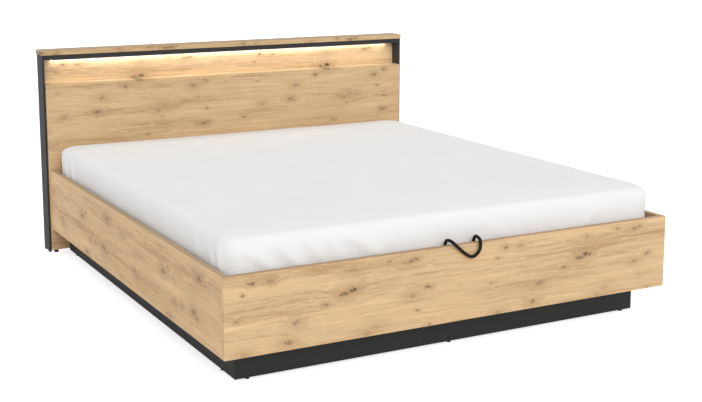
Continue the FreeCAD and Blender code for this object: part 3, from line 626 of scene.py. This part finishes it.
class BED_OT_mattress(bpy.types.Operator):
    """Makes the mattress as a padded form with soft folds in its cover"""
    bl_idname = "bed.mattress"
    bl_label = "Mattress"

    def execute(self, context):
        obj = cad_copy("mattress", "mattress_padded")
        self.remesh(context, obj)
        self.inflate(context, obj)
        self.spread(obj)
        self.soften(context, obj)
        finish_piece(obj, "base", cover_cloth(), "mattress_cover", "mattress")
        return {"FINISHED"}

    @staticmethod
    def remesh(context, obj):
        """Even faces all over, slightly inside the solid."""
        lo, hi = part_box("mattress")
        middle = (lo + hi) / 2
        factor = [1 - 2 * REMESH_SLACK / (hi[k] - lo[k]) for k in range(3)]
        for v in obj.data.vertices:
            v.co = Vector([middle[k] + (v.co[k] - middle[k]) * factor[k] for k in range(3)])
        even = obj.modifiers.new("even", "REMESH")
        even.mode = "VOXEL"
        even.voxel_size = sizes().mattress_voxel
        even.use_smooth_shade = True
        bake_modifiers(context, obj)

    @staticmethod
    def inflate(context, obj):
        """Swells the cover over its filling, and keeps every point near its place."""
        rest = [v.co.copy() for v in obj.data.vertices]
        cloth = obj.modifiers.new("cover", "CLOTH")
        cloth.settings.quality = 4
        cloth.settings.mass = 0.4
        cloth.settings.use_pressure = True
        cloth.settings.uniform_pressure_force = 4.0
        cloth.settings.shrink_min = -0.012
        cloth.settings.tension_stiffness = 12.0
        cloth.settings.bending_stiffness = 0.8
        cloth.settings.effector_weights.gravity = 0.0
        frames = sizes().sim_frames
        cloth.point_cache.frame_start = 1
        cloth.point_cache.frame_end = frames
        for step in range(1, frames + 1):
            context.scene.frame_set(step)
        bake_modifiers(context, obj)
        context.scene.frame_set(1)
        cap = sizes().mattress_swell
        for v, at in zip(obj.data.vertices, rest):
            move = v.co - at
            if move.length > cap:
                v.co = at + move.normalized() * cap

    @staticmethod
    def spread(obj):
        """Brings the sides back out to the solid's, because the even mesh and the cloth draw them in."""
        lo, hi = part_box("mattress")
        for k in (0, 1):
            near = min(v.co[k] for v in obj.data.vertices)
            far = max(v.co[k] for v in obj.data.vertices)
            for v in obj.data.vertices:
                share = (v.co[k] - near) / (far - near)
                v.co[k] = lo[k] + SIDE_SLACK + share * (hi[k] - lo[k] - 2 * SIDE_SLACK)

    @staticmethod
    def soften(context, obj):
        """Adds one subdivision, then folds and a slight unevenness."""
        fine = obj.modifiers.new("fine", "SUBSURF")
        fine.levels = fine.render_levels = 1
        bake_modifiers(context, obj)
        lo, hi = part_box("mattress")
        mesh = obj.data
        normals = [v.normal.copy() for v in mesh.vertices]
        for v, n in zip(mesh.vertices, normals):
            p = v.co
            lift = sum(noise.noise(p * waves) * height for waves, height in UNEVENNESS)
            if n.z > 0:
                lift += EDGE_FULLNESS * 4 * n.z ** 2 * (1 - n.z ** 2)
            if n.y < -SIDEWAYS:
                lift += fold_height(p.x, p.z, FOOT_FOLDS) * -n.y
            if n.x < -SIDEWAYS:
                lift += fold_height(p.y, p.z, SIDE_FOLDS) * -n.x
            if n.x > SIDEWAYS:
                lift += fold_height(p.y, p.z, SIDE_FOLDS[1:3]) * n.x
            v.co = p + n * lift
        # The underside rests flat on the slats, and no fold reaches a board
        for v in mesh.vertices:
            v.co.x = min(max(v.co.x, lo.x - SIDE_ROOM), hi.x + SIDE_ROOM)
            v.co.y = min(max(v.co.y, lo.y - FOOT_ROOM), hi.y + SIDE_ROOM)
            v.co.z = max(v.co.z, lo.z)
        for face in mesh.polygons:
            face.use_smooth = True


def bake_modifiers(context, obj):
    """Turns an object's modifiers into its mesh."""
    graph = context.evaluated_depsgraph_get()
    mesh = bpy.data.meshes.new_from_object(obj.evaluated_get(graph))
    obj.modifiers.clear()
    obj.data = mesh


# Boards

class BED_OT_oak_boards(bpy.types.Operator):
    """Makes the oak boards of the frame and the headboard"""
    bl_idname = "bed.oak_boards"
    bl_label = "Oak boards"

    def execute(self, context):
        slot = "knotty_oak_laminate"
        # Painted shade: tops of the boards, and the rails' inner faces, take the same print a shade darker
        painted_shade = grained("oak_painted_shade", ("#A48765", "#B69874"))
        board("foot_panel", oak("knotty_oak_foot_panel", BOARD_KNOTS, tone=(1.05,) * 3), slot, painted_shade)
        # The print runs from the head to the foot on the rails
        rails = oak("knotty_oak_side_rails", RAIL_KNOTS, turn=(0, 0, QUARTER), tone=(1.06,) * 3)
        rail_painted_shade = grained("oak_rail_painted_shade", ("#A98D6A", "#BDA07B"), turn=(0, 0, QUARTER))
        board("side_rail_left", rails, slot, rail_painted_shade)
        board("side_rail_right", rails, slot, rail_painted_shade)
        # The recess and the panel under it follow on from each other, 510 mm lower on the print, and the
        # recess is drawn paler and whiter as painted light from the strip above it
        sheet = (0, 0, -0.510)
        # The panel's tone below one is painted shade, for the light that falls off towards the head
        panel = oak("knotty_oak_headboard_painted_shade", BOARD_KNOTS, shift=sheet, tone=(0.93,) * 3)
        board("headboard_front_panel", panel, slot)
        recess = oak("knotty_oak_recess_painted_glow", BOARD_KNOTS, shift=sheet, tone=(1.12, 1.19, 1.28))
        board("headboard_recess_panel", recess, slot)
        board("headboard_ledge", recess, slot)
        # The cap's tone below one is painted shade, like the panel's
        cap = oak("knotty_oak_cap_painted_shade", BOARD_KNOTS, shift=(0.12, 0, -0.57), tone=(0.92,) * 3)
        board("headboard_cap", cap, slot, painted_shade)
        return {"FINISHED"}


class BED_OT_dark_boards(bpy.types.Operator):
    """Makes the anthracite boards of the plinth and the headboard"""
    bl_idname = "bed.dark_boards"
    bl_label = "Dark boards"

    def execute(self, context):
        # Melamine-faced board in plain anthracite: matt, with a fine pebble grain of 0.7 mm
        tones = [toned(colours().anthracite, share) for share in (0.93, 1.07)]
        made = speckled("anthracite_melamine", tones, (0.48, 0.6), specks=1400.0, ior=1.38)
        for node in ("plinth_left", "plinth_right", "plinth_foot", "plinth_head", "plinth_middle",
                     "headboard_post_left", "headboard_post_right", "headboard_dark_board"):
            board(node, made, "anthracite_laminate")
        return {"FINISHED"}


class BED_OT_hidden_boards(bpy.types.Operator):
    """Makes the boards and battens inside the storage space and behind the headboard"""
    bl_idname = "bed.hidden_boards"
    bl_label = "Inner boards"

    def execute(self, context):
        # Particle board faced in a plain pale grey-beige: dull and even, with a grain of 1.7 mm
        backing = speckled("grey_beige_melamine", ("#C6BDAE", "#CFC7B9"), (0.5, 0.62), specks=600.0)
        for node in ("headboard_rib_left", "headboard_rib_right", "headboard_back_rail",
                     "storage_floor_foot"):
            board(node, backing, "backing_board")
        dress(backing, "storage_floor_head")
        # Planed spruce, unfinished: pale and dull, with lines 12 mm apart
        spruce = grained("planed_spruce", ("#D3B383", "#E3CBA0"))
        dress(spruce, "rest_batten", "rest_blocks", "floor_battens")
        return {"FINISHED"}


class BED_OT_slats(bpy.types.Operator):
    """Finishes the bent slats and their holders"""
    bl_idname = "bed.slats"
    bl_label = "Slats"

    def execute(self, context):
        # Laminated birch, sanded and waxed: pale with a low gloss, and lines 11 mm apart
        birch = grained("waxed_birch_ply", ("#D2B482", "#E6CFA4"), rough=(0.40, 0.52),
                        waves=(3.0, 90.0, 200.0))
        dress(birch, "slats_left", "slats_right")
        # Moulded polypropylene: black and dull, with a texture of 0.7 mm
        plastic = speckled("black_polypropylene", ("#1B1B1C", "#262627"), (0.45, 0.6), specks=1500.0)
        dress(plastic, "slat_holders", "plinth_glides", "headboard_glides", "tube_plugs")
        return {"FINISHED"}


class BED_OT_lift(bpy.types.Operator):
    """Finishes the steel base, the lift fittings and the gas struts"""
    bl_idname = "bed.lift"
    bl_label = "Lifting base"

    def execute(self, context):
        # Powder-coated steel tube and plate: satin black with an orange peel of 1.4 mm
        coated = speckled("black_powder_coat", ("#232426", "#2D2E30"), (0.38, 0.5), specks=700.0,
                          relief=0.2)
        dress(coated, "base_side_tube_left", "base_side_tube_right", "base_foot_tube", "base_head_tube",
              "base_centre_tube", "lift_bracket_left", "lift_bracket_right", "lift_plate_left",
              "lift_plate_right", "rear_arm_left", "rear_arm_right", "front_arm_left", "front_arm_right",
              "mattress_stops", "loop_anchors", "strut_cylinder_left", "strut_cylinder_right")
        # Zinc-plated steel: grey-white metal with blotches of 3 mm
        zinc = speckled("zinc_plated_steel", ("#A9ACAF", "#C6C9CB"), (0.28, 0.42), metallic=1.0,
                        specks=300.0)
        dress(zinc, "corner_angles_foot", "corner_angles_head", "frame_studs", "arm_studs", "base_studs",
              "loop_ferrules")
        # Ground and hard-chromed piston rod: bright, almost without texture
        chrome = speckled("hard_chrome_rod", ("#C9CBCE", "#D6D8DA"), (0.10, 0.16), metallic=1.0,
                          specks=400.0, relief=0.02)
        dress(chrome, "strut_rod_left", "strut_rod_right")
        # Moulded rubber: dull and slightly rough, in specks of 1.1 mm
        rubber = speckled("black_rubber_buffer", ("#1E1E1E", "#2A2A2A"), (0.7, 0.85), relief=0.3)
        dress(rubber, "rest_buffers")
        return {"FINISHED"}


class BED_OT_light(bpy.types.Operator):
    """Finishes the light strip in the headboard's recess"""
    bl_idname = "bed.light"
    bl_label = "Recess light"

    def execute(self, context):
        # Extruded aluminium, anodised: an even, pale matt silver with a grain of 2 mm
        anodised = speckled("anodised_aluminium", ("#E6E6E3", "#EFEFEC"), (0.55, 0.68), metallic=1.0,
                            specks=500.0)
        dress(anodised, "led_profile")
        dress(opal_light(), "led_diffuser")
        # Moulded ABS: white with a slight gloss and a texture of 1 mm
        case = speckled("white_abs_case", ("#DEDEDA", "#E8E8E4"), (0.4, 0.5), specks=1000.0)
        dress(case, "led_driver")
        return {"FINISHED"}


# Screws

HEAD_RADIUS = 0.0048
HEAD_HEIGHT = 0.0022
# A head's flat crown and the width of its slots as shares of its radius, and their depth of its height
CROWN_SHARE = 0.62
SLOT_SHARE = 0.22
SLOT_DEPTH_SHARE = 0.9
# Screws of a lift plate: (y, z)
PLATE_SCREWS = ((0.30, 0.150), (0.345, 0.185), (0.40, 0.222), (0.44, 0.225), (0.455, 0.155), (0.36, 0.128))
# Thickness of a corner angle's leaf, and how far its screws stand from the boards and from its lower end
ANGLE_LEAF = 0.0025
ANGLE_SCREW_INSET = 0.028


def screw_tree(head_radius, head_height):
    """Geometry Nodes: a round head with a cross slot at every point, turned to the point's normal."""
    tree = bpy.data.node_groups.new("screw_heads", "GeometryNodeTree")
    tree.interface.new_socket("Geometry", in_out="INPUT", socket_type="NodeSocketGeometry")
    for name, value in (("Head radius", head_radius), ("Head height", head_height)):
        made = tree.interface.new_socket(name, in_out="INPUT", socket_type="NodeSocketFloat")
        made.default_value = value
    finish = tree.interface.new_socket("Finish", in_out="INPUT", socket_type="NodeSocketMaterial")
    tree.interface.new_socket("Geometry", in_out="OUTPUT", socket_type="NodeSocketGeometry")
    given = add(tree, "NodeGroupInput").outputs
    radius, height = given["Head radius"], given["Head height"]
    shares = ((radius, CROWN_SHARE), (radius, SLOT_SHARE), (height, SLOT_DEPTH_SHARE))
    crown, slot_width, slot_depth = (
        add(tree, "ShaderNodeMath", {0: size, 1: share}, operation="MULTIPLY") for size, share in shares)
    dome = add(tree, "GeometryNodeMeshCone", {
        "Vertices": 16, "Radius Top": crown, "Radius Bottom": radius, "Depth": height})
    bar_size = add(tree, "ShaderNodeCombineXYZ", {"X": radius, "Y": slot_width, "Z": slot_depth})
    bar = add(tree, "GeometryNodeMeshCube", {"Size": bar_size})
    rise = add(tree, "ShaderNodeCombineXYZ", {"Z": height})
    head = add(tree, "GeometryNodeMeshBoolean", {"Mesh 1": dome}, operation="DIFFERENCE")
    for turn in (0, QUARTER):
        give(tree, head, {"Mesh 2": add(tree, "GeometryNodeTransform", {
            "Geometry": bar, "Translation": rise, "Rotation": (0, 0, turn)})})
    facing = add(tree, "GeometryNodeInputNamedAttribute", {"Name": "facing"}, data_type="FLOAT_VECTOR")
    turned = add(tree, "FunctionNodeAlignEulerToVector", {"Vector": facing}, axis="Z")
    spread = add(tree, "GeometryNodeInstanceOnPoints", {
        "Points": given["Geometry"], "Instance": head, "Rotation": turned})
    real = add(tree, "GeometryNodeRealizeInstances", {"Geometry": spread})
    done = add(tree, "GeometryNodeSetMaterial", {"Geometry": real, "Material": given["Finish"]})
    add(tree, "NodeGroupOutput", {"Geometry": done})
    return tree, finish.identifier


def screws(name, places, body, material, tree_and_socket):
    """Screw heads at (place, facing) pairs, as one plain mesh on one body."""
    tree, socket = tree_and_socket
    mesh = bpy.data.meshes.new(name)
    mesh.from_pydata([p for p, f in places], [], [])
    layer = mesh.attributes.new("facing", "FLOAT_VECTOR", "POINT")
    for n, (p, facing) in enumerate(places):
        layer.data[n].vector = facing
    obj = link_object(name, mesh)
    made = obj.modifiers.new("heads", "NODES")
    made.node_group = tree
    made[socket] = material
    bake_modifiers(bpy.context, obj)
    return finish_piece(obj, body, None, "zinc_plated_steel")


class BED_OT_screws(bpy.types.Operator):
    """Sets screw heads on the lift plates and the corner angles"""
    bl_idname = "bed.screws"
    bl_label = "Screws"

    def execute(self, context):
        # Zinc-plated like the angles, a little brighter for its finer finish
        zinc = speckled("zinc_plated_screws", ("#B4B7BA", "#CDCFD1"), (0.25, 0.38), metallic=1.0,
                        specks=300.0)
        tree = screw_tree(HEAD_RADIUS, HEAD_HEIGHT)
        middle = HEAD_HEIGHT / 2
        places = []
        for side, inward in (("left", 1), ("right", -1)):
            lo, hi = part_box("lift_plate_" + side)
            face = hi.x if inward > 0 else lo.x
            places += [((face + inward * middle, y, z), (inward, 0, 0)) for y, z in PLATE_SCREWS]
        screws("lift_plate_screws", places, "frame", zinc, tree)
        places = []
        rise = ANGLE_LEAF + middle
        for node, turn in (("corner_angles_foot", 1), ("corner_angles_head", -1)):
            lo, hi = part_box(node)
            board_y = lo.y if turn > 0 else hi.y
            for side in (-1, 1):
                rail_x = hi.x if side > 0 else lo.x
                for z in (lo.z + ANGLE_SCREW_INSET, (lo.z + hi.z) / 2):
                    on_rail = (rail_x - side * rise, board_y + turn * ANGLE_SCREW_INSET, z)
                    on_board = (rail_x - side * ANGLE_SCREW_INSET, board_y + turn * rise, z)
                    places += [(on_rail, (-side, 0, 0)), (on_board, (0, turn, 0))]
        screws("corner_angle_screws", places, "frame", zinc, tree)
        return {"FINISHED"}


class BED_PT_panel(bpy.types.Panel):
    """Lists the bed's pieces in the sidebar"""
    bl_idname = "BED_PT_panel"
    bl_label = "Storage Bed"
    bl_space_type = "VIEW_3D"
    bl_region_type = "UI"
    bl_category = "Bed"

    def draw(self, context):
        for group in (context.scene.bed_sizes, context.scene.bed_colours):
            for name in group.bl_rna.properties.keys():
                if name not in ("rna_type", "name"):
                    self.layout.prop(group, name)
        for operator in OPERATORS:
            self.layout.operator(operator.bl_idname)


OPERATORS = (
    BED_OT_stage, BED_OT_pull_loop, BED_OT_mattress, BED_OT_oak_boards, BED_OT_dark_boards,
    BED_OT_hidden_boards, BED_OT_slats, BED_OT_lift, BED_OT_light, BED_OT_screws,
)
CLASSES = (BedSizes, BedColours, *OPERATORS, BED_PT_panel)


def register():
    for one in CLASSES:
        bpy.utils.register_class(one)
    bpy.types.Scene.bed_sizes = PointerProperty(type=BedSizes)
    bpy.types.Scene.bed_colours = PointerProperty(type=BedColours)


def unregister():
    del bpy.types.Scene.bed_colours
    del bpy.types.Scene.bed_sizes
    for one in reversed(CLASSES):
        bpy.utils.unregister_class(one)


def main():
    register()
    for operator in OPERATORS:
        group, name = operator.bl_idname.split(".")
        getattr(getattr(bpy.ops, group), name)()


if __name__ == "__main__":
    main()
